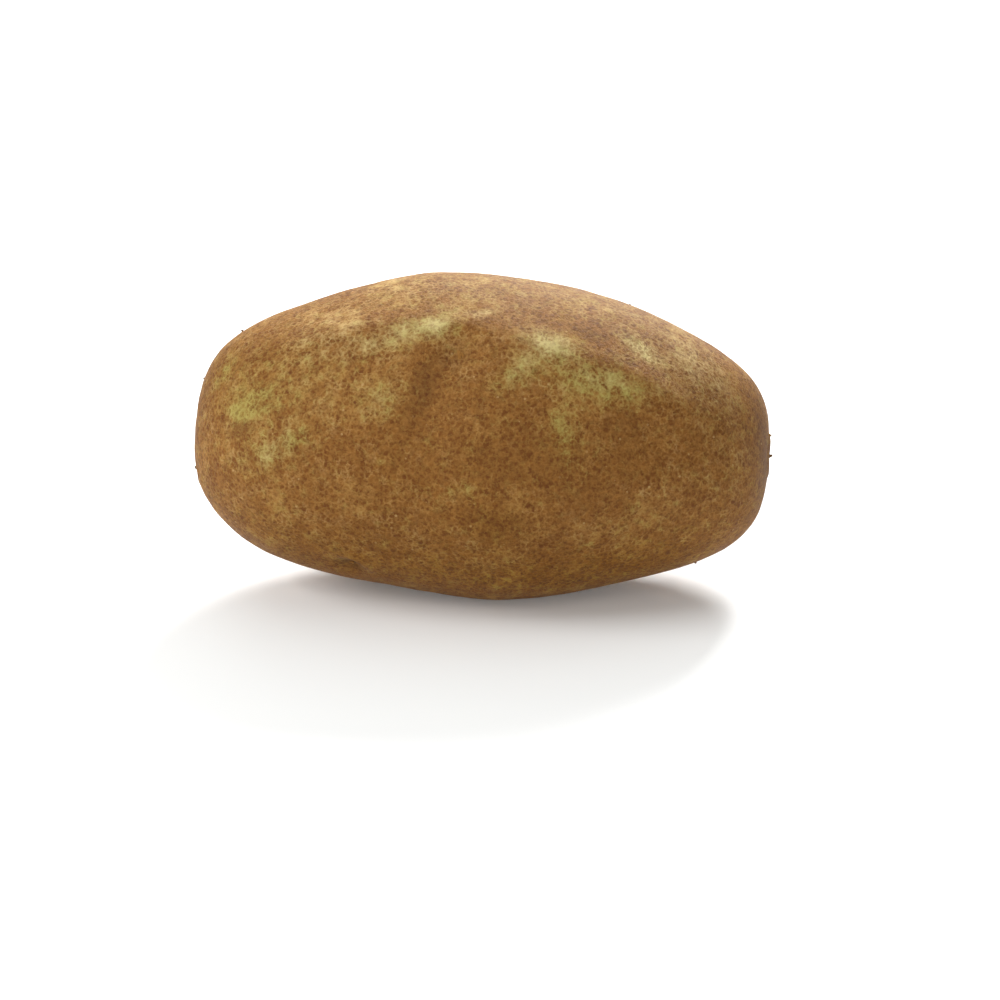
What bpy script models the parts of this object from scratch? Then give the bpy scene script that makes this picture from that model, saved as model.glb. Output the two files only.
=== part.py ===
"""A whole raw russet potato, lying on its side as picked: one grown body, so one solid.

The tuber is a plump ellipsoid. Its outline swells and draws in a few millimetres, its skin
dips at the eyes, each eye has a brow on its stem side, and the stem end has a shallow scar.
It rests on a small flat spot. Shapes are worked out in millimetres in the tuber's own
frame: length towards the stem end, rise upwards across its tall side, and face towards the
side that is seen. The tuber is then leaned back, set down, and moved so that the origin is
below the middle of its box, at the surface that it lies on.
"""

from math import cos, pi, radians, sin

import bmesh
import bpy
import numpy as np

MM = 0.001

# Driving sizes, in millimetres
LENGTH = 125.0
HEIGHT = 70.6
DEPTH = 63.0
HALF_SIZES = np.array((LENGTH, HEIGHT, DEPTH)) / 2

# The tuber lies rolled back about its length by this many degrees
LEAN = 22.0

# How far the resting side is pressed flat
FLAT_DEPTH = 1.0

# Cells along each edge of the cube that is rounded into the body
GRID_CELLS = 29

# How far the skin stands out of the plain ellipsoid, in millimetres, every 18 degrees round
# the tall outline: from the stem end, over the crown, to the bud end, and back underneath
TALL_OUTLINE = (
    -0.6, -0.1, -1.8, -2.4, -1.5, -0.1, 0.8, 1.0, 3.1, 2.0,
    0.6, 2.1, 2.8, 1.0, -0.9, 0.2, 0.5, 2.2, 5.0, 1.9,
)

# The same round the flat outline, every 36 degrees between the two ends
FACE_OUTLINE = (-0.6, 1.2, 0.6, 0.9)
BACK_OUTLINE = (1.4, -0.8, 1.0, 1.8)

# Broad swells and hollows of the body. Each is a place (length, rise, side), where side is
# +1 on the face and -1 on the back, a height, the reach of its two half widths and the turn
# of its longer one from the length, in degrees
SWELLS = (
    ((9.0, 18.0, 1), 0.8, 17.0, 6.5, -8.0),
    ((33.0, 9.0, 1), 1.2, 15.0, 5.0, -22.0),
    ((33.0, 0.0, 1), -1.5, 12.0, 6.0, -10.0),
    ((-11.0, 6.0, 1), -1.1, 16.0, 5.5, 72.0),
    ((-28.0, 21.0, 1), 0.9, 14.0, 5.0, 4.0),
    ((-42.0, -2.0, 1), 0.8, 13.0, 10.0, 20.0),
    ((14.0, -16.0, 1), 0.8, 20.0, 9.0, 5.0),
    ((-30.0, 14.0, -1), 1.4, 18.0, 9.0, 15.0),
    ((24.0, 6.0, -1), -1.3, 16.0, 9.0, -25.0),
    ((2.0, -12.0, -1), 0.9, 20.0, 10.0, 8.0),
)

# The eyes. Each is a place as above, its depth, its size, which is the radius of its brow,
# and the direction that its brow faces from it, in degrees anticlockwise from the stem end.
# On the face they lie as seen, and on the hidden sides they follow on round the spiral
EYES = (
    ((-5.2, 17.0, 1), 1.15, 6.4, 112.0),
    ((-29.5, -28.5, 1), 1.5, 4.4, 60.0),
    ((47.0, 14.0, -1), 1.2, 3.2, 20.0),
    ((38.0, -17.0, -1), 1.5, 3.6, -10.0),
    ((23.0, 24.0, -1), 1.4, 3.8, 15.0),
    ((12.0, -14.0, -1), 1.8, 4.2, 0.0),
    ((-8.0, 12.0, -1), 2.0, 4.4, 12.0),
    ((-20.0, -24.0, -1), 1.6, 4.0, -15.0),
    ((-33.0, 23.0, -1), 1.5, 3.8, 25.0),
    ((-43.0, -4.0, -1), 1.8, 3.8, 5.0),
    ((-52.0, 12.0, -1), 1.4, 3.2, 30.0),
    ((-60.8, -7.5, 1), 0.7, 2.4, -20.0),
    ((-59.5, 2.0, -1), 1.4, 2.8, 0.0),
)

# An eye's parts: the brow's height as a share of the depth, and the brow's half width and the
# dish's reach as shares of the size
BROW_SHARE = 0.42
BROW_WIDTH_SHARE = 0.38
HOLLOW_SHARE = 0.72

# The scar where the tuber hung on its stem, near the middle of the stem end
SCAR_PLACE = (61.7, -4.5, -1)
SCAR_DEPTH = 1.6
SCAR_RADIUS = 3.6
SCAR_RIM = 0.5

SKIN_COLOR = (0.266, 0.117, 0.040, 1.0)
SKIN_ROUGHNESS = 0.72


def clear_scene():
    """Removes whatever the scene holds."""
    for obj in list(bpy.data.objects):
        bpy.data.objects.remove(obj, do_unlink=True)


def skin_material():
    """Brown russet skin: dull, not metallic."""
    material = bpy.data.materials.new("russet_skin")
    material.use_nodes = True
    shader = material.node_tree.nodes["Principled BSDF"]
    shader.inputs["Base Color"].default_value = SKIN_COLOR
    shader.inputs["Roughness"].default_value = SKIN_ROUGHNESS
    shader.inputs["Metallic"].default_value = 0.0
    return material


def round_the_outline(values, angle):
    """The smooth closed curve through values at even angles: the sum of their waves."""
    waves = np.fft.rfft(values) / len(values)
    curve = np.full(np.shape(angle), waves[0].real)
    for turns in range(1, len(waves)):
        share = 1 if 2 * turns == len(values) else 2
        phase = turns * angle
        curve += share * (waves[turns].real * np.cos(phase) - waves[turns].imag * np.sin(phase))
    return curve


def outline_swell(ball):
    """How far the skin stands out of the ellipsoid at points of the unit ball.

    The tall outline counts where the skin turns up or down and the flat one where it turns
    to the face or the back. What the two sides of an outline have in common goes with the
    square of that turn, and what sets them apart goes with the turn itself, so the skin
    stays smooth over both ends.
    """
    from_end = np.arccos(np.clip(ball[:, 0], -1.0, 1.0))
    around = np.hypot(ball[:, 1], ball[:, 2])
    upward = ball[:, 1] / np.maximum(around, 1e-9)
    faceward = ball[:, 2] / np.maximum(around, 1e-9)
    half_way = len(TALL_OUTLINE) // 2
    flat_outline = (TALL_OUTLINE[0], *FACE_OUTLINE, TALL_OUTLINE[half_way], *reversed(BACK_OUTLINE))
    swell = np.zeros(len(ball))
    for outline, turn in ((TALL_OUTLINE, upward), (flat_outline, faceward)):
        one_side = round_the_outline(outline, from_end)
        other_side = round_the_outline(outline, -from_end)
        swell += (one_side + other_side) / 2 * turn**2
        swell += (one_side - other_side) / 2 * turn
    return swell


def place_on_body(place):
    """The ellipsoid's point, in mm, at (length, rise, side), and its outward direction."""
    length, rise, side = place
    x = length / HALF_SIZES[0]
    y = rise / HALF_SIZES[1]
    z = side * max(1 - x * x - y * y, 0.0) ** 0.5
    ball = np.array((x, y, z))
    ball /= np.linalg.norm(ball)
    outward = ball / HALF_SIZES
    return ball * HALF_SIZES, outward / np.linalg.norm(outward)


def distances_from(place, turn, points):
    """Distances of points from a place, in mm: along a line on the skin that is turned from
    the length by turn degrees, seen from outside on either side, and square to it."""
    centre, outward = place_on_body(place)
    side = place[2]
    along_length = np.array((1.0, 0.0, 0.0))
    along_length -= outward * outward[0]
    along_length /= np.linalg.norm(along_length)
    upwards = np.cross(outward, along_length) * side
    angle = radians(turn)
    along = along_length * cos(angle) + upwards * sin(angle)
    across = upwards * cos(angle) - along_length * sin(angle)
    offset = points - centre
    reach = np.linalg.norm(offset, axis=1)
    on_skin = np.stack((offset @ along, offset @ across), axis=1)
    flat_reach = np.maximum(np.linalg.norm(on_skin, axis=1), 1e-9)
    on_skin *= (reach / flat_reach)[:, None]
    return on_skin[:, 0], on_skin[:, 1]


def broad_swell(points, place, height, half_length, half_width, turn):
    """A smooth oval rise, or a hollow where its height is negative: a bell curve."""
    along, across = distances_from(place, turn, points)
    return height * np.exp(-((along / half_length) ** 2) - (across / half_width) ** 2)


def eye(points, place, depth, radius, turn):
    """An eye: a dish under a crescent brow, which stands on the side that it faces.

    The dish is a bell curve. The brow is a ridge along a circle of the eye's radius, which
    fades out to both sides of the direction that it faces.
    """
    towards_brow, sideways = distances_from(place, turn, points)
    reach = np.hypot(towards_brow, sideways)
    dish = -depth * np.exp(-((reach / (HOLLOW_SHARE * radius)) ** 2))
    facing = np.clip(towards_brow / np.maximum(reach, 1e-9), 0.0, 1.0)
    ridge = np.exp(-(((reach / radius - 1) / BROW_WIDTH_SHARE) ** 2)) * facing**1.5
    return dish + BROW_SHARE * depth * ridge


def stem_scar(points):
    """A round dip with a low rim, where the stem came away."""
    along, across = distances_from(SCAR_PLACE, 0.0, points)
    reach = np.hypot(along, across)
    dip = -SCAR_DEPTH * np.exp(-((reach / (0.6 * SCAR_RADIUS)) ** 2))
    rim = SCAR_RIM * np.exp(-(((reach - SCAR_RADIUS) / 1.2) ** 2))
    return dip + rim


def skin_points(ball):
    """The points of the skin, in mm in the tuber's own frame, for points of the unit ball."""
    plain = ball * HALF_SIZES
    swell = outline_swell(ball)
    for place, height, half_length, half_width, turn in SWELLS:
        swell += broad_swell(plain, place, height, half_length, half_width, turn)
    for place, depth, radius, turn in EYES:
        swell += eye(plain, place, depth, radius, turn)
    swell += stem_scar(plain)
    reach = np.linalg.norm(plain, axis=1)
    return plain * ((reach + swell) / reach)[:, None]


def laid_down(own):
    """Own-frame points leaned back, set down and pressed flat below, over the origin."""
    lean = radians(LEAN)
    length, rise, face = own.T
    depthwise = rise * sin(lean) - face * cos(lean)
    upright = rise * cos(lean) + face * sin(lean)
    upright = np.maximum(upright - upright.min() - FLAT_DEPTH, 0.0)
    laid = np.stack((length, depthwise, upright), axis=1)
    middle = (laid.min(axis=0) + laid.max(axis=0)) / 2
    laid[:, :2] -= middle[:2]
    return laid


def rounded_cube():
    """A cube with a grid on each side, its points drawn onto the unit ball evenly."""
    mesh = bmesh.new()
    bmesh.ops.create_cube(mesh, size=2.0)
    bmesh.ops.subdivide_edges(mesh, edges=mesh.edges[:], cuts=GRID_CELLS - 1, use_grid_fill=True)
    points = np.array([vert.co for vert in mesh.verts], dtype=float)
    points = np.tan(points * pi / 4)
    return mesh, points / np.linalg.norm(points, axis=1)[:, None]


def make_potato():
    """The tuber as one closed body."""
    mesh, ball = rounded_cube()
    skin = laid_down(skin_points(ball)) * MM
    for vert, point in zip(mesh.verts, skin):
        vert.co = point
    bmesh.ops.recalc_face_normals(mesh, faces=mesh.faces[:])
    data = bpy.data.meshes.new("potato")
    mesh.to_mesh(data)
    mesh.free()
    data.shade_smooth()
    data.materials.append(skin_material())
    potato = bpy.data.objects.new("potato", data)
    bpy.context.scene.collection.objects.link(potato)
    return potato


clear_scene()
make_potato()
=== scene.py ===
"""The looks of a whole raw russet potato: its netted skin, the buds in its eyes and the dried
stubs of its roots, on a pale floor in soft studio light."""

import logging
from dataclasses import dataclass
from enum import Enum
from math import cos, pi, radians, sin
from typing import Any

import bpy
import numpy as np
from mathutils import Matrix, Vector


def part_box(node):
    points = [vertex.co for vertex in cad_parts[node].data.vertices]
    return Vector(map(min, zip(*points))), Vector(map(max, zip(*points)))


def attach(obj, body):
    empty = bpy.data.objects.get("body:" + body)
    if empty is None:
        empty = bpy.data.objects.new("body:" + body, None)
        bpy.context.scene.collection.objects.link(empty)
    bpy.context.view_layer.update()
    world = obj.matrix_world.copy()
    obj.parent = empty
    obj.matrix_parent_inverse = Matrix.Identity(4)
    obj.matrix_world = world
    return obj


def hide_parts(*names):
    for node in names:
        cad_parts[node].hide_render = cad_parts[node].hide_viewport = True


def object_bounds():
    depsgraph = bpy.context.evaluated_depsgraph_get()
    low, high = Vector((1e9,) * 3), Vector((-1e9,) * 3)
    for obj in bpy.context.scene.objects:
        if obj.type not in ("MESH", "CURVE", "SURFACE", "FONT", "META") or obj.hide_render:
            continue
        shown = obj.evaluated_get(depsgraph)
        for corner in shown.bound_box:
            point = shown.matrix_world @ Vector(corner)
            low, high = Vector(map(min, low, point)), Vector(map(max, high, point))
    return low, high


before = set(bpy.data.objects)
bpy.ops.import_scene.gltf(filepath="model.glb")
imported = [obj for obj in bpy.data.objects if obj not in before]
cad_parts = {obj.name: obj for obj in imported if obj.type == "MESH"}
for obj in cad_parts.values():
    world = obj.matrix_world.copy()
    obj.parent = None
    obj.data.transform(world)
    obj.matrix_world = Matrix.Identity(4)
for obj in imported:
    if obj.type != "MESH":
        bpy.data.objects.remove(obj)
CAD_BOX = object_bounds()

NODE = "potato"
BODY = "root"
MM = 0.001
log = logging.getLogger("potato")

Array = np.ndarray


class Side(Enum):
    """Which half of the tuber a place is on: the face that is seen, or the back."""

    FACE = 1
    BACK = -1


@dataclass(frozen=True)
class Place:
    """A place on the tuber, in mm from its middle, in the tuber's own frame."""

    length: float
    rise: float
    side: Side


@dataclass(frozen=True)
class Swell:
    """A broad smooth rise of the body, or a hollow where its height is negative, in mm."""

    place: Place
    height: float
    half_length: float
    half_width: float
    turn: float


@dataclass(frozen=True)
class Eye:
    """An eye: a dish with a crescent brow on the side that it faces. Sizes are in mm."""

    place: Place
    depth: float
    radius: float
    turn: float


@dataclass(frozen=True)
class Patch:
    """A patch of skin of another tone: where, how large in mm, how it is turned, how strong."""

    place: Place
    half_length: float
    half_width: float
    turn: float
    strength: float


FACE, BACK = Side.FACE, Side.BACK

SWELLS = (
    Swell(Place(9.0, 18.0, FACE), 0.8, 17.0, 6.5, -8.0),
    Swell(Place(33.0, 9.0, FACE), 1.2, 15.0, 5.0, -22.0),
    Swell(Place(33.0, 0.0, FACE), -1.5, 12.0, 6.0, -10.0),
    Swell(Place(-11.0, 6.0, FACE), -1.1, 16.0, 5.5, 72.0),
    Swell(Place(-28.0, 21.0, FACE), 0.9, 14.0, 5.0, 4.0),
    Swell(Place(-42.0, -2.0, FACE), 0.8, 13.0, 10.0, 20.0),
    Swell(Place(14.0, -16.0, FACE), 0.8, 20.0, 9.0, 5.0),
    Swell(Place(-30.0, 14.0, BACK), 1.4, 18.0, 9.0, 15.0),
    Swell(Place(24.0, 6.0, BACK), -1.3, 16.0, 9.0, -25.0),
    Swell(Place(2.0, -12.0, BACK), 0.9, 20.0, 10.0, 8.0),
)

EYES = (
    Eye(Place(-5.2, 17.0, FACE), 1.15, 6.4, 112.0),
    Eye(Place(-29.5, -28.5, FACE), 1.5, 4.4, 60.0),
    Eye(Place(47.0, 14.0, BACK), 1.2, 3.2, 20.0),
    Eye(Place(38.0, -17.0, BACK), 1.5, 3.6, -10.0),
    Eye(Place(23.0, 24.0, BACK), 1.4, 3.8, 15.0),
    Eye(Place(12.0, -14.0, BACK), 1.8, 4.2, 0.0),
    Eye(Place(-8.0, 12.0, BACK), 2.0, 4.4, 12.0),
    Eye(Place(-20.0, -24.0, BACK), 1.6, 4.0, -15.0),
    Eye(Place(-33.0, 23.0, BACK), 1.5, 3.8, 25.0),
    Eye(Place(-43.0, -4.0, BACK), 1.8, 3.8, 5.0),
    Eye(Place(-52.0, 12.0, BACK), 1.4, 3.2, 30.0),
    Eye(Place(-60.8, -7.5, FACE), 0.7, 2.4, -20.0),
    Eye(Place(-59.5, 2.0, BACK), 1.4, 2.8, 0.0),
)

# Where light reached the tuber and greened it. The broad first patch along the whole top also pales the
# top as a painted highlight
SUNNED_PATCHES = (
    # Greening, and painted highlight along the whole top
    Patch(Place(-5.0, 31.0, FACE), 50.0, 13.0, 0.0, 0.15),
    Patch(Place(-44.0, 9.0, FACE), 18.0, 13.0, 10.0, 0.36),
    Patch(Place(-48.0, 6.3, FACE), 5.5, 3.0, 5.0, 0.9),
    Patch(Place(-51.0, 4.5, FACE), 2.4, 2.0, 5.0, 0.6),
    Patch(Place(-43.5, -4.0, FACE), 8.5, 3.2, 27.0, 0.65),
    Patch(Place(-38.5, -1.5, FACE), 3.0, 2.2, 30.0, 0.4),
    Patch(Place(-21.0, 7.4, FACE), 5.0, 4.0, 20.0, 0.5),
    Patch(Place(-17.0, 20.2, FACE), 10.0, 3.0, 18.0, 0.55),
    Patch(Place(-9.8, 22.0, FACE), 3.4, 2.8, 20.0, 0.7),
    Patch(Place(13.5, 18.0, FACE), 5.0, 3.6, -10.0, 0.75),
    Patch(Place(6.0, 11.5, FACE), 5.5, 3.0, 35.0, 0.7),
    Patch(Place(24.0, 10.2, FACE), 11.0, 4.0, -10.0, 1.0),
    Patch(Place(16.0, -0.5, FACE), 3.4, 6.0, 10.0, 0.9),
    Patch(Place(33.5, 18.5, FACE), 6.0, 2.4, -38.0, 0.4),
    Patch(Place(-54.0, 13.0, FACE), 4.0, 2.4, 40.0, 0.5),
    Patch(Place(-4.0, -12.0, FACE), 4.0, 2.0, 0.0, 0.4),
    Patch(Place(28.0, -4.0, BACK), 10.0, 5.0, 25.0, 0.8),
    Patch(Place(-6.0, 20.0, BACK), 9.0, 4.0, -15.0, 0.8),
    Patch(Place(-34.0, 6.0, BACK), 8.0, 5.0, 30.0, 0.7),
    Patch(Place(8.0, -24.0, BACK), 12.0, 4.0, 0.0, 0.5),
)

# Where the flakes are rubbed thin, or thicker than elsewhere where the strength is negative. Some are
# painted light: the broad first patch pales the whole top as a painted highlight, and the dark patches at
# the right end and in the valley beside the main eye are painted shade
WEAR_AND_PAINTED_LIGHT_PATCHES = (
    # Painted highlight: pales the whole top
    Patch(Place(0.0, 32.0, FACE), 50.0, 12.0, 0.0, 0.3),
    Patch(Place(-9.8, 21.6, FACE), 3.0, 2.4, 20.0, 0.7),
    Patch(Place(-18.5, 20.0, FACE), 9.0, 2.6, 20.0, 0.5),
    Patch(Place(-1.0, 25.0, FACE), 4.5, 1.2, 8.0, 0.4),
    Patch(Place(14.0, 18.2, FACE), 4.8, 3.4, -10.0, 1.0),
    Patch(Place(8.5, 16.0, FACE), 4.5, 3.5, 20.0, 0.25),
    Patch(Place(33.0, 18.8, FACE), 6.0, 3.0, -38.0, 0.7),
    Patch(Place(27.5, 16.0, FACE), 5.0, 1.8, -20.0, 0.3),
    Patch(Place(-40.5, 1.5, FACE), 3.5, 1.6, 60.0, 0.25),
    Patch(Place(-21.0, 7.4, FACE), 4.2, 3.2, 20.0, 0.3),
    Patch(Place(-32.0, 19.0, FACE), 8.0, 4.0, 5.0, 0.4),
    Patch(Place(6.0, 11.5, FACE), 4.5, 2.6, 35.0, 0.3),
    Patch(Place(24.0, 10.4, FACE), 9.0, 3.2, -10.0, 0.45),
    Patch(Place(16.0, 0.0, FACE), 3.0, 5.0, 10.0, 0.2),
    Patch(Place(-43.5, -3.8, FACE), 8.0, 3.0, 27.0, 0.35),
    Patch(Place(-4.0, -12.2, FACE), 4.5, 2.5, 0.0, 0.4),
    # Painted shade: darkens the right end
    Patch(Place(61.5, -2.0, FACE), 5.0, 14.0, 0.0, -0.9),
    Patch(Place(46.0, 16.0, FACE), 16.0, 9.0, -40.0, 0.4),
    Patch(Place(6.0, -6.0, FACE), 34.0, 14.0, 0.0, -0.55),
    # Painted shade: darkens the valley beside the main eye
    Patch(Place(-12.6, 10.0, FACE), 6.5, 3.2, 70.0, -0.9),
    Patch(Place(-50.6, 0.9, FACE), 5.0, 2.4, 10.0, -0.9),
    Patch(Place(2.0, -19.0, FACE), 6.0, 4.5, 0.0, -0.6),
    Patch(Place(21.0, 21.0, FACE), 5.5, 2.8, -10.0, -0.9),
    Patch(Place(31.0, 2.5, FACE), 7.0, 4.0, -10.0, -0.25),
    Patch(Place(20.0, 12.0, BACK), 8.0, 3.0, 30.0, 0.5),
    Patch(Place(-20.0, -8.0, BACK), 10.0, 3.5, -20.0, 0.5),
    Patch(Place(40.0, 4.0, BACK), 6.0, 4.0, 10.0, -0.5),
    Patch(Place(-46.0, 16.0, BACK), 7.0, 3.0, 40.0, -0.4),
)

# Where the skin is redder and darker, most of all along the lower side, where the darkening is painted
# shade
RUSTY_AND_SHADED_PATCHES = (
    # Painted shade along the lower side
    Patch(Place(0.0, -30.0, FACE), 60.0, 9.0, 0.0, 0.85),
    Patch(Place(25.0, -29.0, FACE), 20.0, 8.0, 0.0, 0.4),
    Patch(Place(2.0, -19.0, FACE), 6.0, 4.5, 0.0, 0.5),
    Patch(Place(2.0, -8.0, FACE), 25.0, 10.0, 0.0, 0.2),
    Patch(Place(34.0, 12.0, BACK), 14.0, 8.0, 20.0, 0.4),
    Patch(Place(-14.0, -26.0, BACK), 40.0, 9.0, 0.0, 0.5),
)


def smooth_noise(points: Array, cell: float, seed: int) -> Array:
    """Smooth random heights: random values on a lattice, eased between its corners.

    Args:
        points: N by 3 positions.
        cell: the lattice's spacing, in the same unit.
        seed: seeds the lattice's values.

    Returns:
        N values between -1 and 1.
    """
    period = 64
    lattice = np.random.default_rng(seed).uniform(-1.0, 1.0, (period, period, period))
    scaled = points / cell + period / 2
    corner = np.floor(scaled).astype(int)
    part = scaled - corner
    eased = part * part * part * (part * (part * 6 - 15) + 10)
    total = np.zeros(len(points))
    for step in np.ndindex(2, 2, 2):
        index = (corner + step) % period
        share = np.where(np.array(step) == 1, eased, 1 - eased).prod(axis=1)
        total += share * lattice[index[:, 0], index[:, 1], index[:, 2]]
    return total


def cube_ball(cells: int) -> tuple[Array, Array]:
    """A unit ball from a cube with a grid on each side, evened out by a tangent.

    Args:
        cells: grid cells along each edge of the cube.

    Returns:
        The ball's points, N by 3, and its four-cornered faces, which point outwards.
    """
    first, second = np.meshgrid(np.arange(cells + 1), np.arange(cells + 1), indexing="ij")
    number = np.arange((cells + 1) ** 2).reshape(cells + 1, cells + 1)
    quad = np.stack((number[:-1, :-1], number[1:, :-1], number[1:, 1:], number[:-1, 1:]), axis=-1)
    quad = quad.reshape(-1, 4)
    lattices, faces = [], []
    for axis in range(3):
        for end in (0, cells):
            lattice = np.empty((cells + 1, cells + 1, 3), dtype=int)
            lattice[..., axis] = end
            lattice[..., (axis + 1) % 3] = first
            lattice[..., (axis + 2) % 3] = second
            faces.append((quad if end else quad[:, ::-1]) + len(lattices) * number.size)
            lattices.append(lattice.reshape(-1, 3))
    corners, shared = np.unique(np.concatenate(lattices), axis=0, return_inverse=True)
    ball = np.tan((corners / cells * 2 - 1) * pi / 4)
    ball /= np.linalg.norm(ball, axis=1)[:, None]
    return ball, shared.reshape(-1)[np.concatenate(faces)]


@dataclass
class TuberForm:
    """The shape of the tuber, which the model's solid shares. Sizes are in mm.

    Its own frame is length towards the stem end, rise across its tall side, and face
    towards the side that is seen.
    """

    length: float = 125.0
    height: float = 70.6
    depth: float = 63.0
    lean: float = 22.0
    flat_depth: float = 1.0
    solid_cells: int = 29
    tall_outline: tuple[float, ...] = (
        -0.6, -0.1, -1.8, -2.4, -1.5, -0.1, 0.8, 1.0, 3.1, 2.0,
        0.6, 2.1, 2.8, 1.0, -0.9, 0.2, 0.5, 2.2, 5.0, 1.9,
    )
    face_outline: tuple[float, ...] = (-0.6, 1.2, 0.6, 0.9)
    back_outline: tuple[float, ...] = (1.4, -0.8, 1.0, 1.8)
    brow_share: float = 0.42
    brow_width_share: float = 0.38
    hollow_share: float = 0.72
    scar: Place = Place(61.7, -4.5, BACK)
    scar_depth: float = 1.6
    scar_radius: float = 3.6
    scar_dip_share: float = 0.6
    scar_rim: float = 0.5
    scar_rim_width: float = 1.2

    def half_sizes(self) -> Array:
        """Half the length, height and depth."""
        return np.array((self.length, self.height, self.depth)) / 2

    @staticmethod
    def round_the_outline(values: tuple[float, ...], angle: Array) -> Array:
        """The smooth closed curve through values at even angles: the sum of their waves.

        Args:
            values: the curve's values at even angles.
            angle: the angles asked for, in radians.

        Returns:
            The curve's values there.
        """
        waves = np.fft.rfft(values) / len(values)
        curve = np.full(np.shape(angle), waves[0].real)
        for turns in range(1, len(waves)):
            share = 1 if 2 * turns == len(values) else 2
            phase = turns * angle
            curve += share * (waves[turns].real * np.cos(phase) - waves[turns].imag * np.sin(phase))
        return curve

    def outline_swell(self, ball: Array) -> Array:
        """How far the skin stands out of the plain ellipsoid.

        The tall outline counts where the skin turns up or down, the flat one where it turns
        to the face or the back: what both sides of an outline share goes with the square of
        that turn, and what sets them apart with the turn itself.

        Args:
            ball: N points of the unit ball.

        Returns:
            N heights, in mm.
        """
        from_end = np.arccos(np.clip(ball[:, 0], -1.0, 1.0))
        around = np.maximum(np.hypot(ball[:, 1], ball[:, 2]), 1e-9)
        half_way = len(self.tall_outline) // 2
        flat_outline = (
            self.tall_outline[0],
            *self.face_outline,
            self.tall_outline[half_way],
            *reversed(self.back_outline),
        )
        swell = np.zeros(len(ball))
        outlines = ((self.tall_outline, ball[:, 1] / around), (flat_outline, ball[:, 2] / around))
        for outline, turn in outlines:
            one_side = self.round_the_outline(outline, from_end)
            other_side = self.round_the_outline(outline, -from_end)
            swell += (one_side + other_side) / 2 * turn**2 + (one_side - other_side) / 2 * turn
        return swell

    def ball_point(self, place: Place) -> Array:
        """The unit ball's point for a place.

        Args:
            place: the place.

        Returns:
            Its point.
        """
        x, y = np.array((place.length, place.rise)) / self.half_sizes()[:2]
        point = np.array((x, y, place.side.value * max(1 - x * x - y * y, 0.0) ** 0.5))
        return point / np.linalg.norm(point)

    def distances_from(self, place: Place, turn: float, points: Array) -> tuple[Array, Array]:
        """Distances from a place along the skin, in mm.

        Args:
            place: where they are measured from.
            turn: how far the first direction is turned from the length, in degrees.
            points: N points of the plain ellipsoid.

        Returns:
            N distances along that direction and N square to it.
        """
        direction = self.ball_point(place)
        centre = direction * self.half_sizes()
        outward = direction / self.half_sizes()
        outward /= np.linalg.norm(outward)
        along_length = np.array((1.0, 0.0, 0.0)) - outward * outward[0]
        along_length /= np.linalg.norm(along_length)
        upwards = np.cross(outward, along_length) * place.side.value
        angle = radians(turn)
        along = along_length * cos(angle) + upwards * sin(angle)
        across = upwards * cos(angle) - along_length * sin(angle)
        offset = points - centre
        reach = np.linalg.norm(offset, axis=1)
        on_skin = np.stack((offset @ along, offset @ across), axis=1)
        on_skin *= (reach / np.maximum(np.linalg.norm(on_skin, axis=1), 1e-9))[:, None]
        return on_skin[:, 0], on_skin[:, 1]

    def oval(
        self, points: Array, place: Place, half_length: float, half_width: float, turn: float
    ) -> Array:
        """A bell curve over an oval: 1 at its place, fading with the square of the distance.

        Args:
            points: N points of the plain ellipsoid.
            place: the oval's middle.
            half_length: its reach along its longer axis, in mm.
            half_width: its reach across, in mm.
            turn: how far the longer axis is turned from the length, in degrees.

        Returns:
            N values from 0 to 1.
        """
        along, across = self.distances_from(place, turn, points)
        return np.exp(-((along / half_length) ** 2) - (across / half_width) ** 2)

    def eye_parts(self, points: Array, eye: Eye) -> tuple[Array, Array]:
        """An eye's dish and brow.

        The dish is a bell curve. The brow is a ridge along a circle of the eye's radius
        that fades out to both sides of the direction that it faces.

        Args:
            points: N points of the plain ellipsoid.
            eye: the eye.

        Returns:
            N shares of the dish and N of the brow, each from 0 to 1.
        """
        towards_brow, sideways = self.distances_from(eye.place, eye.turn, points)
        reach = np.hypot(towards_brow, sideways)
        dish = np.exp(-((reach / (self.hollow_share * eye.radius)) ** 2))
        facing = np.clip(towards_brow / np.maximum(reach, 1e-9), 0.0, 1.0)
        brow = np.exp(-(((reach / eye.radius - 1) / self.brow_width_share) ** 2)) * facing**1.5
        return dish, brow

    def swell(self, ball: Array) -> Array:
        """How far the whole form stands out of the plain ellipsoid: outline, swells, eyes
        and stem scar added up.

        Args:
            ball: N points of the unit ball.

        Returns:
            N heights, in mm.
        """
        plain = ball * self.half_sizes()
        total = self.outline_swell(ball)
        for item in SWELLS:
            oval = self.oval(plain, item.place, item.half_length, item.half_width, item.turn)
            total += item.height * oval
        for eye in EYES:
            dish, brow = self.eye_parts(plain, eye)
            total += eye.depth * (self.brow_share * brow - dish)
        along, across = self.distances_from(self.scar, 0.0, plain)
        reach = np.hypot(along, across)
        total -= self.scar_depth * np.exp(-((reach / (self.scar_dip_share * self.scar_radius)) ** 2))
        total += self.scar_rim * np.exp(-(((reach - self.scar_radius) / self.scar_rim_width) ** 2))
        return total

    def skin(self, ball: Array, relief: Array | float = 0.0) -> Array:
        """The skin's points: the ellipsoid moved out along its own direction by the swell.

        Args:
            ball: N points of the unit ball.
            relief: N further heights, in mm.

        Returns:
            N points in the tuber's own frame, in mm.
        """
        plain = ball * self.half_sizes()
        reach = np.linalg.norm(plain, axis=1)
        return plain * ((reach + self.swell(ball) + relief) / reach)[:, None]

    def leaned(self, own: Array) -> Array:
        """Own-frame points turned back by the lean into the model's axes.

        Args:
            own: N points in the tuber's own frame, in mm.

        Returns:
            N points: length, depth and height.
        """
        lean = radians(self.lean)
        length, rise, face = own.T
        depthwise = rise * sin(lean) - face * cos(lean)
        upright = rise * cos(lean) + face * sin(lean)
        return np.stack((length, depthwise, upright), axis=1)


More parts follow.
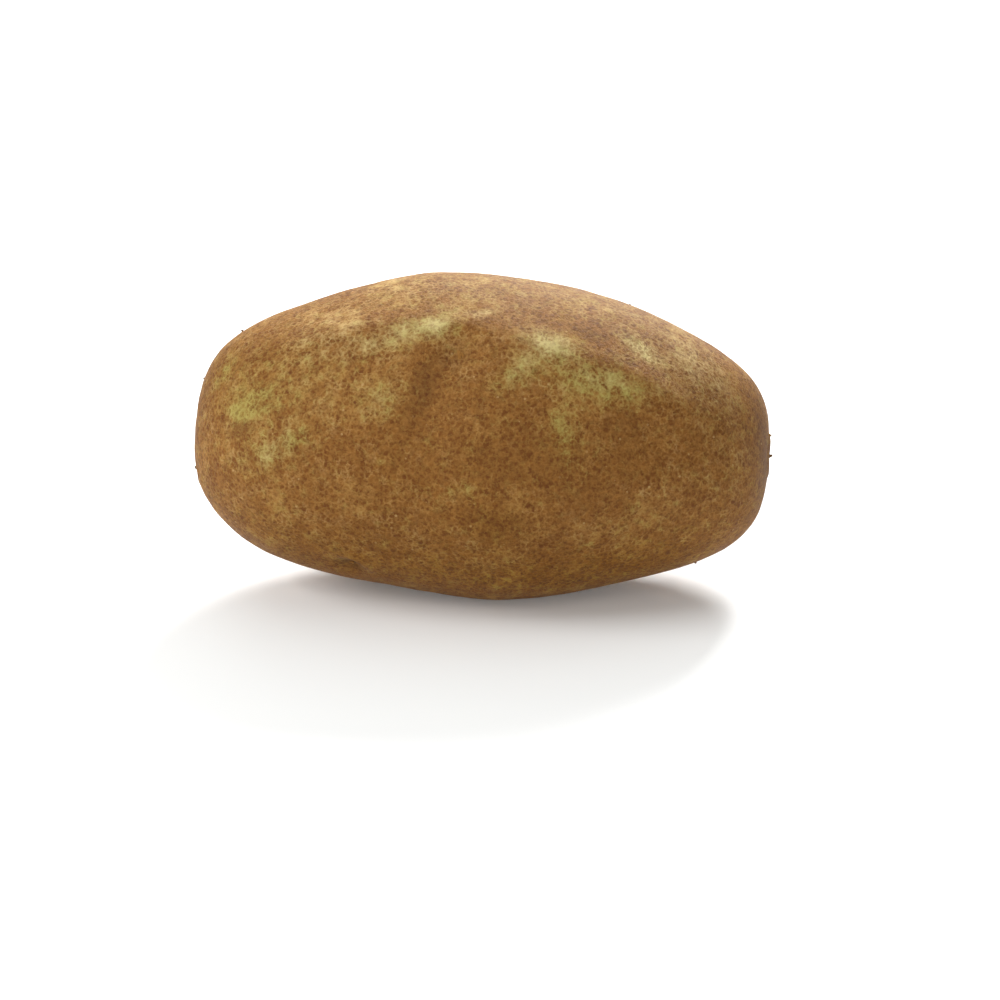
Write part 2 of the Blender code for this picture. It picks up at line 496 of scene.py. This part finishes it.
@dataclass
class Lying:
    """How the leaned tuber is set down and fitted to the frame's box."""

    lowest: float
    flat_depth: float
    middle: Array
    stretch: Array
    corner: Array

    @classmethod
    def of(cls, form: TuberForm, low: Vector, high: Vector) -> "Lying":
        """The resting place of a form in the box of the node that it replaces.

        Args:
            form: the tuber's shape.
            low: the box's lowest corner, in metres.
            high: its highest corner.

        Returns:
            The resting place.
        """
        leaned = form.leaned(form.skin(cube_ball(form.solid_cells)[0]))
        lowest = leaned[:, 2].min()
        leaned[:, 2] = np.maximum(leaned[:, 2] - lowest - form.flat_depth, 0.0)
        size = leaned.max(axis=0) - leaned.min(axis=0)
        middle = (leaned.max(axis=0) + leaned.min(axis=0)) / 2
        box = (np.array(high) - np.array(low)) / MM
        centre = (np.array(high) + np.array(low)) / 2 / MM
        return cls(lowest, form.flat_depth, middle, box / size, centre)

    def settle(self, leaned: Array) -> Array:
        """Leaned points set down, pressed flat below and moved to the frame.

        Args:
            leaned: N leaned points, in mm.

        Returns:
            N points in metres.
        """
        laid = leaned.copy()
        laid[:, 2] = np.maximum(laid[:, 2] - self.lowest - self.flat_depth, 0.0)
        return ((laid - self.middle) * self.stretch + self.corner) * MM


@dataclass
class MeshPiece:
    """A piece of the visual model: its name and mesh data, made into an object."""

    name: str
    points: Array
    faces: Array

    def make(self, material: bpy.types.Material) -> bpy.types.Object:
        """The piece as a smooth-shaded object that rides on the tuber.

        Args:
            material: the piece's finish.

        Returns:
            The new object.
        """
        mesh = bpy.data.meshes.new(self.name)
        mesh.from_pydata(self.points.tolist(), [], self.faces.tolist())
        mesh.shade_smooth()
        mesh.materials.append(material)
        piece = bpy.data.objects.new(self.name, mesh)
        bpy.context.scene.collection.objects.link(piece)
        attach(piece, BODY)
        return piece


def stacked(parts: list[Array], faces: Array) -> tuple[Array, Array]:
    """Several bodies that share their faces, as one mesh.

    Args:
        parts: each body's points.
        faces: the faces of one body.

    Returns:
        All their points, and all their faces.
    """
    count = len(parts[0])
    stacked_faces = [faces + number * count for number in range(len(parts))]
    return np.concatenate(parts), np.concatenate(stacked_faces)


def set_attribute(piece: bpy.types.Object, name: str, values: Array) -> None:
    """Stores one number for each of a piece's points under a name that materials read."""
    layer = piece.data.attributes.new(name, "FLOAT", "POINT")
    layer.data.foreach_set("value", values.astype(np.float32))


def linear(code: str, alpha: float = 1.0) -> tuple[float, float, float, float]:
    """An sRGB hex colour turned linear.

    Args:
        code: the colour, such as #a57b42.
        alpha: its fourth channel.

    Returns:
        The linear channels.
    """
    channels = np.array([int(code[i : i + 2], 16) for i in (1, 3, 5)]) / 255
    straight = np.where(channels <= 0.04045, channels / 12.92, ((channels + 0.055) / 1.055) ** 2.4)
    return (*straight.tolist(), alpha)


def add_node(
    tree: bpy.types.NodeTree, kind: str, options: dict[str, Any], inputs: dict[Any, Any]
) -> bpy.types.Node:
    """Adds one node.

    Args:
        tree: the material's node tree.
        kind: the node's type.
        options: its settings, by attribute name.
        inputs: its sockets, by name or number, each given a value or a socket to link from.

    Returns:
        The node.
    """
    node = tree.nodes.new(kind)
    for name, value in options.items():
        setattr(node, name, value)
    for key, value in inputs.items():
        if isinstance(value, bpy.types.NodeSocket):
            tree.links.new(value, node.inputs[key])
        else:
            node.inputs[key].default_value = value
    return node


@dataclass(frozen=True)
class Noise:
    """Smooth noise over the skin: its cell in mm, its detail, how rough it is, where it starts.

    Its middle values, which the two ends name, are spread over 0 to 1.
    """

    cell: float
    detail: float
    rough: float
    start: float
    low_end: float = 0.28
    high_end: float = 0.72


@dataclass(frozen=True)
class Layer:
    """One colour laid over another by a share, each by its name, and the result's name."""

    result: str
    under: str
    over: str
    share: str
    manner: str = "MIX"


# The real grain of cork is a tenth of a millimetre or less, half a pixel of the render. It is
# drawn four times as coarse, so that it shows
SKIN_NOISES = {
    "broad": Noise(10.0, 2.0, 0.5, 0.0),
    "mottle": Noise(3.2, 4.0, 0.65, 40.0),
    "broken": Noise(1.9, 3.0, 0.6, 80.0),
    "dusty": Noise(4.5, 5.0, 0.75, 120.0),
    "yellowed": Noise(2.6, 5.0, 0.75, 160.0),
    "grain": Noise(0.42, 3.0, 0.7, 200.0),
    "speck": Noise(0.8, 2.0, 0.55, 240.0),
}

# A value that is one value times another: its name and theirs
SKIN_PRODUCTS = (
    ("sunned_in_spots", "sunned", "broken"),
    ("sunned_in_flecks", "sunned", "yellowed"),
    ("wear_and_painted_light_in_spots", "wear_and_painted_light", "mottle"),
    ("broken_crack", "crack", "broken"),
    ("broken_fine_crack", "fine_crack", "broken"),
    ("dusty_pore", "pore", "dusty"),
)

# A value that adds up others by their shares and stays within 0 to 1: its name, what it
# starts from, and the shares. Bare is how far the ground shows between and through the flakes
SKIN_SUMS = (
    ("greened", -0.1, (("sunned", 0.5), ("sunned_in_spots", 0.8), ("sunned_in_flecks", 0.6))),
    ("yellow", -0.9, (("yellowed", 1.8),)),
    ("thin", -0.82, (("mottle", 0.9), ("broad", 0.75), ("greened", 0.45), ("grain", 0.3))),
    ("netted", 0.0, (("broken_crack", 0.48), ("broken_fine_crack", 0.28))),
    ("worn_through", -0.26, (
        ("netted", 1.0), ("thin", 0.85), ("yellow", 0.2), ("wear_and_painted_light", 0.3), ("wear_and_painted_light_in_spots", 0.2))),
    ("flecked", 0.0, (("crack", 0.2), ("cell", 0.12), ("speck", 0.25), ("grain", 0.22))),
    ("bare", -0.258, (("worn_through", 0.76), ("flecked", 1.0))),
    ("dusted", -0.85, (("dusty", 1.7), ("wear_and_painted_light", 0.3), ("wear_and_painted_light_in_spots", 0.7), ("broken_crack", 0.35))),
    ("olived", 0.0, (("yellow", 0.75), ("greened", 1.0))),
    ("creamed", -0.05, (("wear_and_painted_light", 0.35), ("wear_and_painted_light_in_spots", 0.8))),
    ("flaked", -0.1, (("cell", 0.3), ("speck", 0.45), ("grain", 0.45))),
    ("dotted", -0.1, (("dusty_pore", 1.1),)),
    # Painted shade: darkens the eyes and the stem scar by how deep they lie, and the patches of negative
    # strength
    ("dirt_and_painted_shade_share", -0.12, (("hollow", 0.54), ("wear_and_painted_light", -0.4))),
    ("height", 0.2, (("crack", -0.05), ("fine_crack", -0.02), ("grain", 0.07), ("pore", 0.06))),
    ("roughness", 0.66, (("bare", 0.12),)),
)

SKIN_LAYERS = (
    Layer("ground", "tan", "dust", "dusted"),
    Layer("ground", "ground", "olive", "olived"),
    Layer("ground", "ground", "cream", "creamed"),
    Layer("flake", "flake_dark", "flake_light", "flaked"),
    Layer("skin", "flake", "ground", "bare"),
    Layer("skin", "skin", "dust", "dotted"),
    # Painted shade in the eyes, the stem scar and the dark patches
    Layer("skin", "skin", "dirt_and_painted_shade", "dirt_and_painted_shade_share"),
    # Painted shade along the lower side, with redder skin
    Layer("skin", "skin", "rust_and_painted_shade", "rusty_and_shaded", "MULTIPLY"),
)


@dataclass(frozen=True)
class RussetSkin:
    """Russet skin: dry corky periderm, cracked by growth into a fine net.

    Small red-brown flakes cover a paler ground, which shows in the cracks between them, in
    broken lines, and wherever the flakes wore thin. The ground is tan, drier and greyer where
    it is dusty, and olive where light reached the tuber. The eye sees a warm speckle that
    turns soft and pale towards the light. Painted light is mixed in as well: paler along the
    top as a painted highlight, and darker in the eyes, the stem scar, a valley, the right end
    and along the lower side as painted shade. Sizes are in mm, and a crack's share is its
    reach over the flake's size.
    """

    flake_size: float = 1.25
    fine_flake_size: float = 0.62
    crack_share: float = 0.32
    fine_crack_share: float = 0.28
    flake_softness: float = 0.3
    wander_size: float = 0.9
    wander: float = 1.3
    pore_size: float = 0.36
    pore_core_share: float = 0.6
    pore_spacing: float = 3.6
    ior: float = 1.45
    specular: float = 0.17
    sheen: float = 0.03
    sheen_roughness: float = 0.35
    flake_dark: str = "#58300b"
    flake_light: str = "#885721"
    tan: str = "#a57b42"
    dust: str = "#b99560"
    cream: str = "#cbb982"
    olive: str = "#a2934e"
    # Colour of the painted shade in the eyes, the stem scar and the dark patches
    dirt_and_painted_shade: str = "#3d2410"
    # Tint of the painted shade along the lower side and of redder skin
    rust_and_painted_shade: str = "#f0e8b6"

    def make(self) -> bpy.types.Material:
        """The finish as a material.

        Returns:
            The new material.
        """
        material = bpy.data.materials.new("russet_periderm_netted")
        material.use_nodes = True
        tree = material.node_tree
        tree.nodes.clear()
        colours = {name: code for name, code in vars(self).items() if isinstance(code, str)}
        made: dict[str, Any] = {name: linear(code) for name, code in colours.items()}
        for name in ("sunned", "wear_and_painted_light", "rusty_and_shaded", "hollow"):
            options = {"attribute_name": name}
            made[name] = add_node(tree, "ShaderNodeAttribute", options, {}).outputs["Fac"]
        self.flakes(tree, made)
        for name, first, second in SKIN_PRODUCTS:
            inputs = {0: made[first], 1: made[second]}
            made[name] = add_node(tree, "ShaderNodeMath", {"operation": "MULTIPLY"}, inputs).outputs[0]
        for name, total, terms in SKIN_SUMS:
            for term, share in terms:
                options = {"operation": "MULTIPLY_ADD", "use_clamp": term == terms[-1][0]}
                inputs = {0: made[term], 1: share, 2: total}
                total = add_node(tree, "ShaderNodeMath", options, inputs).outputs[0]
            made[name] = total
        for layer in SKIN_LAYERS:
            inputs = {0: made[layer.share], 6: made[layer.under], 7: made[layer.over]}
            options = {"data_type": "RGBA", "blend_type": layer.manner}
            made[layer.result] = add_node(tree, "ShaderNodeMix", options, inputs).outputs[2]
        bump = add_node(tree, "ShaderNodeBump", {}, {
            "Strength": 1.0, "Distance": MM, "Height": made["height"]}).outputs[0]
        shader = add_node(tree, "ShaderNodeBsdfPrincipled", {}, {
            "Base Color": made["skin"], "Roughness": made["roughness"], "IOR": self.ior,
            "Specular IOR Level": self.specular, "Sheen Weight": self.sheen,
            "Sheen Roughness": self.sheen_roughness, "Normal": bump}).outputs[0]
        add_node(tree, "ShaderNodeOutputMaterial", {}, {"Surface": shader})
        return material

    def flakes(self, tree: bpy.types.NodeTree, made: dict[str, Any]) -> None:
        """Adds the patterns that the skin is mixed from: noises, cracks, flakes and pores.

        The flakes are the cells round scattered points, pushed about by noise so that their
        edges aren't straight, and the cracks are the edges between them.

        Args:
            tree: the material's node tree.
            made: the values by name, which the patterns are added to.
        """
        place = add_node(tree, "ShaderNodeTexCoord", {}, {}).outputs["Object"]
        in_mm = add_node(tree, "ShaderNodeVectorMath", {"operation": "SCALE"}, {
            0: place, "Scale": 1 / MM}).outputs[0]
        for name, noise in SKIN_NOISES.items():
            moved = add_node(tree, "ShaderNodeVectorMath", {"operation": "ADD"}, {
                0: in_mm, 1: (noise.start,) * 3}).outputs[0]
            grey = add_node(tree, "ShaderNodeTexNoise", {}, {
                "Vector": moved, "Scale": 1 / noise.cell, "Detail": noise.detail,
                "Roughness": noise.rough}).outputs["Fac"]
            made[name] = add_node(tree, "ShaderNodeMapRange", {}, {
                "Value": grey, "From Min": noise.low_end, "From Max": noise.high_end}).outputs[0]
        push = add_node(tree, "ShaderNodeTexNoise", {}, {
            "Vector": in_mm, "Scale": 1 / self.wander_size,
            "Detail": 3.0, "Roughness": 0.6}).outputs["Color"]
        strayed = add_node(tree, "ShaderNodeVectorMath", {"operation": "MULTIPLY_ADD"}, {
            0: push, 1: (self.wander,) * 3, 2: in_mm}).outputs[0]
        cracks = (("crack", self.flake_size, self.crack_share),
                  ("fine_crack", self.fine_flake_size, self.fine_crack_share))
        for name, size, width in cracks:
            edge = add_node(tree, "ShaderNodeTexVoronoi", {"feature": "DISTANCE_TO_EDGE"}, {
                "Vector": strayed, "Scale": 1 / size}).outputs["Distance"]
            made[name] = add_node(tree, "ShaderNodeMapRange", {"interpolation_type": "SMOOTHSTEP"}, {
                "Value": edge, "From Min": 0.0, "From Max": width,
                "To Min": 1.0, "To Max": 0.0}).outputs[0]
        cell = add_node(tree, "ShaderNodeTexVoronoi", {"feature": "SMOOTH_F1"}, {
            "Vector": strayed, "Scale": 1 / self.flake_size,
            "Smoothness": self.flake_softness}).outputs["Color"]
        made["cell"] = add_node(tree, "ShaderNodeSeparateColor", {}, {0: cell}).outputs[0]
        dots = add_node(tree, "ShaderNodeTexVoronoi", {"feature": "F1"}, {
            "Vector": in_mm, "Scale": 1 / self.pore_spacing}).outputs["Distance"]
        edge = self.pore_size / self.pore_spacing
        made["pore"] = add_node(tree, "ShaderNodeMapRange", {"interpolation_type": "SMOOTHSTEP"}, {
            "Value": dots, "From Min": self.pore_core_share * edge, "From Max": edge,
            "To Min": 1.0, "To Max": 0.0}).outputs[0]


@dataclass(frozen=True)
class DryScale:
    """The dry brown scales of a resting bud: papery, darker and redder than the skin."""

    dark: str = "#6a4218"
    light: str = "#9c7038"
    vein: float = 0.35

    def make(self) -> bpy.types.Material:
        """The finish as a material.

        Returns:
            The new material.
        """
        material = bpy.data.materials.new("bud_scale_dried")
        material.use_nodes = True
        tree = material.node_tree
        tree.nodes.clear()
        place = add_node(tree, "ShaderNodeTexCoord", {}, {}).outputs["Object"]
        in_mm = add_node(tree, "ShaderNodeVectorMath", {"operation": "SCALE"}, {
            0: place, "Scale": 1 / MM}).outputs[0]
        veins = add_node(tree, "ShaderNodeTexNoise", {}, {
            "Vector": in_mm, "Scale": 1 / self.vein, "Detail": 4.0, "Roughness": 0.6}).outputs["Fac"]
        colour = add_node(tree, "ShaderNodeMix", {"data_type": "RGBA"}, {
            0: veins, 6: linear(self.dark), 7: linear(self.light)}).outputs[2]
        bump = add_node(tree, "ShaderNodeBump", {}, {
            "Strength": 0.6, "Distance": 0.08 * MM, "Height": veins}).outputs[0]
        shader = add_node(tree, "ShaderNodeBsdfPrincipled", {}, {
            "Base Color": colour, "Roughness": 0.7, "Specular IOR Level": 0.1, "Normal": bump}).outputs[0]
        add_node(tree, "ShaderNodeOutputMaterial", {}, {"Surface": shader})
        return material


@dataclass(frozen=True)
class ShrivelledRoot:
    """A rootlet that dried on the tuber: nearly black wrinkled bark with a paler broken tip."""

    bark: str = "#33200f"
    ridge: str = "#6b4a2a"
    wrinkle: float = 0.22

    def make(self) -> bpy.types.Material:
        """The finish as a material.

        Returns:
            The new material.
        """
        material = bpy.data.materials.new("rootlet_bark_shrivelled")
        material.use_nodes = True
        tree = material.node_tree
        tree.nodes.clear()
        place = add_node(tree, "ShaderNodeTexCoord", {}, {}).outputs["Object"]
        in_mm = add_node(tree, "ShaderNodeVectorMath", {"operation": "SCALE"}, {
            0: place, "Scale": 1 / MM}).outputs[0]
        wrinkles = add_node(tree, "ShaderNodeTexVoronoi", {"feature": "F1"}, {
            "Vector": in_mm, "Scale": 1 / self.wrinkle}).outputs["Distance"]
        colour = add_node(tree, "ShaderNodeMix", {"data_type": "RGBA"}, {
            0: wrinkles, 6: linear(self.ridge), 7: linear(self.bark)}).outputs[2]
        bump = add_node(tree, "ShaderNodeBump", {}, {
            "Strength": 0.8, "Distance": 0.06 * MM, "Height": wrinkles}).outputs[0]
        shader = add_node(tree, "ShaderNodeBsdfPrincipled", {}, {
            "Base Color": colour, "Roughness": 0.85, "Specular IOR Level": 0.2, "Normal": bump}).outputs[0]
        add_node(tree, "ShaderNodeOutputMaterial", {}, {"Surface": shader})
        return material


@dataclass(frozen=True)
class Seat:
    """A place on the finished skin: its point in metres and three unit directions."""

    origin: Array
    along: Array
    upwards: Array
    outward: Array

    def put(self, local: Array, turn: float) -> Array:
        """Moves a small thing's points onto the skin.

        Args:
            local: N points in mm: the way that it faces, square to it, and outwards.
            turn: the way that it faces, in degrees from the tuber's length.

        Returns:
            N points in metres.
        """
        angle = radians(turn)
        ahead = self.along * cos(angle) + self.upwards * sin(angle)
        aside = np.cross(self.outward, ahead)
        return self.origin + (local @ np.stack((ahead, aside, self.outward))) * MM


@dataclass
class Skin:
    """The tuber's skin as one closed fine mesh. Sizes are in mm."""

    form: TuberForm
    lying: Lying
    cells: int = 128
    lumps: tuple[tuple[float, float], ...] = ((12.0, 0.18), (5.5, 0.1), (2.4, 0.05))
    lump_seed: int = 83
    dark_eye_depth: float = 1.5
    seat_step: float = 0.01

    def relief(self, ball: Array) -> Array:
        """Low lumps too fine for the solid: smooth noise at a few spacings, added up.

        Args:
            ball: N points of the unit ball.

        Returns:
            N heights, in mm.
        """
        plain = ball * self.form.half_sizes()
        seeded = enumerate(self.lumps, self.lump_seed)
        return sum(height * smooth_noise(plain, cell, seed) for seed, (cell, height) in seeded)

    def hollow(self, ball: Array) -> Array:
        """How deep in an eye or in the stem scar each point lies: the deepest of their bell
        curves, where a shallow eye counts less. The skin's material paints shade into these
        hollows by it.

        Args:
            ball: N points of the unit ball.

        Returns:
            N values from 0 to 1.
        """
        plain = ball * self.form.half_sizes()
        deepest = self.form.oval(plain, self.form.scar, self.form.scar_radius, self.form.scar_radius, 0.0)
        for eye in EYES:
            dish = self.form.eye_parts(plain, eye)[0]
            deepest = np.maximum(deepest, dish * min(eye.depth / self.dark_eye_depth, 1.0) ** 2)
        return deepest

    def patched(self, ball: Array, patches: tuple[Patch, ...]) -> Array:
        """How strong the patches are at each point: their bell curves added up.

        Args:
            ball: N points of the unit ball.
            patches: the patches.

        Returns:
            N values from -1 to 1.
        """
        plain = ball * self.form.half_sizes()
        total = np.zeros(len(ball))
        for patch in patches:
            oval = self.form.oval(plain, patch.place, patch.half_length, patch.half_width, patch.turn)
            total += patch.strength * oval
        return np.clip(total, -1.0, 1.0)

    def surface(self, ball: Array) -> Array:
        """The finished skin's points, in metres, for points of the unit ball."""
        return self.lying.settle(self.form.leaned(self.form.skin(ball, self.relief(ball))))

    def seat(self, place: Place) -> Seat:
        """A place on the finished skin, with its ways along the tuber, up and outwards, from
        two more points a short step away.

        Args:
            place: the place.

        Returns:
            Its seat.
        """
        middle = self.form.ball_point(place)
        along = np.array((1.0, 0.0, 0.0)) - middle * middle[0]
        along /= np.linalg.norm(along)
        upwards = np.cross(middle, along) * place.side.value
        near = middle + np.array((np.zeros(3), along, upwards)) * self.seat_step
        origin, ahead, above = self.surface(near / np.linalg.norm(near, axis=1)[:, None])
        ahead = (ahead - origin) / np.linalg.norm(ahead - origin)
        outward = np.cross(ahead, above - origin) * place.side.value
        outward /= np.linalg.norm(outward)
        return Seat(origin, ahead, np.cross(outward, ahead) * place.side.value, outward)

    def build(self, material: bpy.types.Material) -> bpy.types.Object:
        """The skin as an object that stands for the CAD node.

        Args:
            material: its finish.

        Returns:
            The new object.
        """
        ball, faces = cube_ball(self.cells)
        piece = MeshPiece("russet_skin", self.surface(ball), faces).make(material)
        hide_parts(NODE)
        # Where shade is painted into the eyes and the stem scar
        set_attribute(piece, "hollow", self.hollow(ball))
        set_attribute(piece, "sunned", self.patched(ball, SUNNED_PATCHES))
        # Real wear, with a painted highlight along the top and painted shade at the right end and in a
        # valley
        set_attribute(piece, "wear_and_painted_light", self.patched(ball, WEAR_AND_PAINTED_LIGHT_PATCHES))
        # Redder skin, and painted shade along the lower side
        set_attribute(piece, "rusty_and_shaded", self.patched(ball, RUSTY_AND_SHADED_PATCHES))
        return piece


@dataclass(frozen=True)
class Bud:
    """Where a bud stands, the way that it points and its length in mm."""

    place: Place
    turn: float
    size: float


@dataclass
class EyeBuds:
    """The dormant bud in each eye: three small dry scales, one over the other."""

    skin: Skin
    cells: int = 5
    share_of_eye: float = 0.26
    narrowing: float = 0.45
    tip_rise: float = 0.12
    lift_share: float = 0.25
    sizes: tuple[float, float, float] = (0.5, 0.3, 0.17)
    steps: tuple[tuple[float, float, float], ...] = (
        (0.0, 0.0, 1.0),
        (-0.45, 0.22, 0.8),
        (-0.35, -0.3, 0.7),
    )

    def scale(self, ball: Array, bud: Bud, ahead: float, aside: float, share: float) -> Array:
        """One scale: a flattened ball whose front narrows to a tip that turns up.

        Args:
            ball: N points of the unit ball.
            bud: the bud that it belongs to.
            ahead: how far ahead of the bud's middle it stands, over the bud's size.
            aside: how far aside.
            share: its size over the bud's.

        Returns:
            N points, in mm, in the bud's own directions.
        """
        forward = np.clip(ball[:, 0], 0.0, 1.0)
        narrowed = 1 - self.narrowing * forward**1.5
        length, width, height = np.array(self.sizes) * bud.size * share
        along = length * ball[:, 0] + ahead * bud.size
        across = width * ball[:, 1] * narrowed + aside * bud.size
        up = height * ball[:, 2] * narrowed + self.tip_rise * bud.size * forward**2
        return np.stack((along, across, up + self.lift_share * height), axis=1)

    def build(self, material: bpy.types.Material) -> bpy.types.Object:
        """All the buds as one object.

        Args:
            material: their finish.

        Returns:
            The new object.
        """
        ball, faces = cube_ball(self.cells)
        buds = [Bud(eye.place, eye.turn, self.share_of_eye * eye.radius) for eye in EYES]
        parts = [self.skin.seat(bud.place).put(self.scale(ball, bud, *step), bud.turn)
                 for bud in buds for step in self.steps]
        return MeshPiece("eye_buds", *stacked(parts, faces)).make(material)


@dataclass(frozen=True)
class Stub:
    """A dried rootlet's stub: where, the way that it leans, its length and width in mm."""

    place: Place
    turn: float
    length: float
    width: float


STUBS = (
    Stub(Place(-53.0, 22.8, FACE), 120.0, 0.5, 0.55),
    Stub(Place(62.4, -4.6, FACE), 10.0, 0.8, 0.8),
    Stub(Place(-62.4, -7.0, FACE), 190.0, 0.3, 0.9),
    Stub(Place(45.8, -27.6, FACE), -60.0, 0.3, 0.6),
    Stub(Place(33.0, 29.6, FACE), 40.0, 0.25, 0.5),
    Stub(Place(-59.0, 12.0, FACE), 160.0, 0.25, 0.6),
    Stub(Place(-24.0, 30.0, BACK), 100.0, 0.5, 0.5),
    Stub(Place(30.0, -12.0, BACK), -30.0, 0.6, 0.5),
    Stub(Place(-14.0, -18.0, BACK), 200.0, 0.5, 0.5),
    Stub(Place(-47.0, 2.0, BACK), 150.0, 0.6, 0.5),
    Stub(Place(50.0, 8.0, BACK), 20.0, 0.5, 0.6),
)


@dataclass
class RootStubs:
    """The stubs of dried rootlets, and of the stem, that stand out of the skin."""

    skin: Skin
    cells: int = 6
    sunk: float = 0.35
    lean_share: float = 0.35
    root_width: float = 1.25
    taper: float = 0.6

    def shape(self, ball: Array, stub: Stub) -> Array:
        """A bent tapered peg with blunt ends: the ball drawn out along its way outwards.

        Args:
            ball: N points of the unit ball.
            stub: the stub's sizes.

        Returns:
            N points, in mm: the way that it leans, square to it, and outwards.
        """
        height = (ball[:, 2] + 1) / 2
        around = np.maximum(np.hypot(ball[:, 0], ball[:, 1]), 1e-9)
        blunt = np.sqrt(np.clip(1 - ball[:, 2] ** 6, 0.0, 1.0))
        radius = stub.width / 2 * (self.root_width - self.taper * height) * blunt
        lean = self.lean_share * stub.length * height**2
        along = ball[:, 0] / around * radius + lean
        across = ball[:, 1] / around * radius
        return np.stack((along, across, height * (stub.length + self.sunk) - self.sunk), axis=1)

    def build(self, material: bpy.types.Material) -> bpy.types.Object:
        """All the stubs as one object.

        Args:
            material: their finish.

        Returns:
            The new object.
        """
        ball, faces = cube_ball(self.cells)
        parts = [self.skin.seat(stub.place).put(self.shape(ball, stub), stub.turn) for stub in STUBS]
        return MeshPiece("root_stubs", *stacked(parts, faces)).make(material)


@dataclass(frozen=True)
class SoftBox:
    """A square soft light: its name, place and width in metres, power in watts and colour."""

    name: str
    place: tuple[float, float, float]
    width: float
    power: float
    tone: str


SOFT_BOXES = (
    SoftBox("key_behind", (0.226, 0.753, 0.617), 0.3, 15.5, "#fdfeff"),
    SoftBox("box_behind", (0.0, 1.3, 0.9), 1.2, 5.9, "#ffffff"),
    SoftBox("box_overhead", (0.0, 0.1, 1.5), 2.0, 16.6, "#fbffff"),
    SoftBox("fill_left", (-1.0, -0.3, 0.75), 0.6, 10.4, "#ffffff"),
    SoftBox("fill_front", (-0.1, -1.2, 0.9), 0.8, 7.0, "#fffdfa"),
)


@dataclass
class Studio:
    """The pale floor, the soft lights and the camera.

    Sizes are in metres, those of the camera's lens and sensor in mm.
    """

    lens: float = 135.0
    sensor: float = 36.0
    frame_px: float = 1000.0
    px_per_mm: float = 4.6
    elevation: float = 22.0
    tuber_px: tuple[float, float] = (483.0, 433.5)
    floor_size: float = 8.0
    floor_tone: str = "#e4e4e3"
    floor_glow: float = 0.12
    floor_roughness: float = 0.9
    floor_drop: float = 0.0001
    lit_height: float = 0.03
    sky_strength: float = 0.03

    def floor(self) -> bpy.types.Object:
        """The pale matt floor that the tuber lies on.

        Returns:
            The floor.
        """
        half = self.floor_size / 2
        mesh = bpy.data.meshes.new("floor")
        corners = [(-half, -half, 0.0), (half, -half, 0.0), (half, half, 0.0), (-half, half, 0.0)]
        mesh.from_pydata(corners, [], [(0, 1, 2, 3)])
        material = bpy.data.materials.new("opal_board_lit_faintly_from_below")
        material.use_nodes = True
        shader = material.node_tree.nodes["Principled BSDF"]
        shader.inputs["Base Color"].default_value = linear(self.floor_tone)
        shader.inputs["Roughness"].default_value = self.floor_roughness
        shader.inputs["Emission Color"].default_value = (1.0, 1.0, 1.0, 1.0)
        shader.inputs["Emission Strength"].default_value = self.floor_glow
        mesh.materials.append(material)
        floor = bpy.data.objects.new("floor", mesh)
        floor.location.z = -self.floor_drop
        bpy.context.scene.collection.objects.link(floor)
        return floor

    def light(self, box: SoftBox) -> None:
        """A soft light that looks at the tuber.

        Args:
            box: its place, size and tone.
        """
        data = bpy.data.lights.new(box.name, "AREA")
        data.size = box.width
        data.energy = box.power
        data.color = linear(box.tone)[:3]
        lamp = bpy.data.objects.new(box.name, data)
        lamp.location = box.place
        lamp.rotation_mode = "QUATERNION"
        lit = Vector((0.0, 0.0, self.lit_height))
        lamp.rotation_quaternion = (Vector(box.place) - lit).to_track_quat("Z", "Y")
        bpy.context.scene.collection.objects.link(lamp)

    def sky(self) -> None:
        """Faint even white light from all round."""
        world = bpy.data.worlds.new("white_tent")
        world.use_nodes = True
        back = world.node_tree.nodes["Background"]
        back.inputs["Color"].default_value = (1.0, 1.0, 1.0, 1.0)
        back.inputs["Strength"].default_value = self.sky_strength
        bpy.context.scene.world = world

    def camera(self, low: Vector, high: Vector) -> None:
        """The camera at the photograph's angle, framed as there.

        Args:
            low: the object's lowest corner.
            high: its highest corner.
        """
        angle = radians(self.elevation)
        up = Vector((0.0, sin(angle), cos(angle)))
        back = Vector((0.0, -cos(angle), sin(angle)))
        across_px = self.frame_px / 2 - self.tuber_px[0]
        down_px = self.frame_px / 2 - self.tuber_px[1]
        middle = (low + high) / 2
        aim = middle + (Vector((1.0, 0.0, 0.0)) * across_px - up * down_px) / self.px_per_mm * MM
        distance = self.lens / self.sensor * self.frame_px / self.px_per_mm * MM
        data = bpy.data.cameras.new("camera")
        data.lens = self.lens
        data.sensor_width = self.sensor
        data.clip_start = 0.01
        camera = bpy.data.objects.new("camera", data)
        camera.location = aim + back * distance
        camera.rotation_mode = "QUATERNION"
        camera.rotation_quaternion = back.to_track_quat("Z", "Y")
        bpy.context.scene.collection.objects.link(camera)
        bpy.context.scene.camera = camera

    def build(self) -> None:
        """Everything round the object."""
        self.camera(*CAD_BOX)
        self.floor()
        self.sky()
        for box in SOFT_BOXES:
            self.light(box)
        bpy.context.scene.view_settings.view_transform = "Standard"


def report(piece: bpy.types.Object) -> None:
    """Logs a piece's name, faces and size."""
    size = [round(side / MM, 1) for side in piece.dimensions]
    log.info("%s: %d faces, %s mm", piece.name, len(piece.data.polygons), size)


def main() -> None:
    """Builds the studio and the potato's pieces in order."""
    logging.basicConfig(level=logging.INFO, format="%(message)s")
    Studio().build()
    form = TuberForm()
    lying = Lying.of(form, *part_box(NODE))
    log.info("fitted to the frame by %s", np.round(lying.stretch, 4))
    skin = Skin(form, lying)
    pieces = (
        skin.build(RussetSkin().make()),
        EyeBuds(skin).build(DryScale().make()),
        RootStubs(skin).build(ShrivelledRoot().make()),
    )
    bpy.context.view_layer.update()
    for piece in pieces:
        report(piece)


if __name__ == "__main__":
    main()
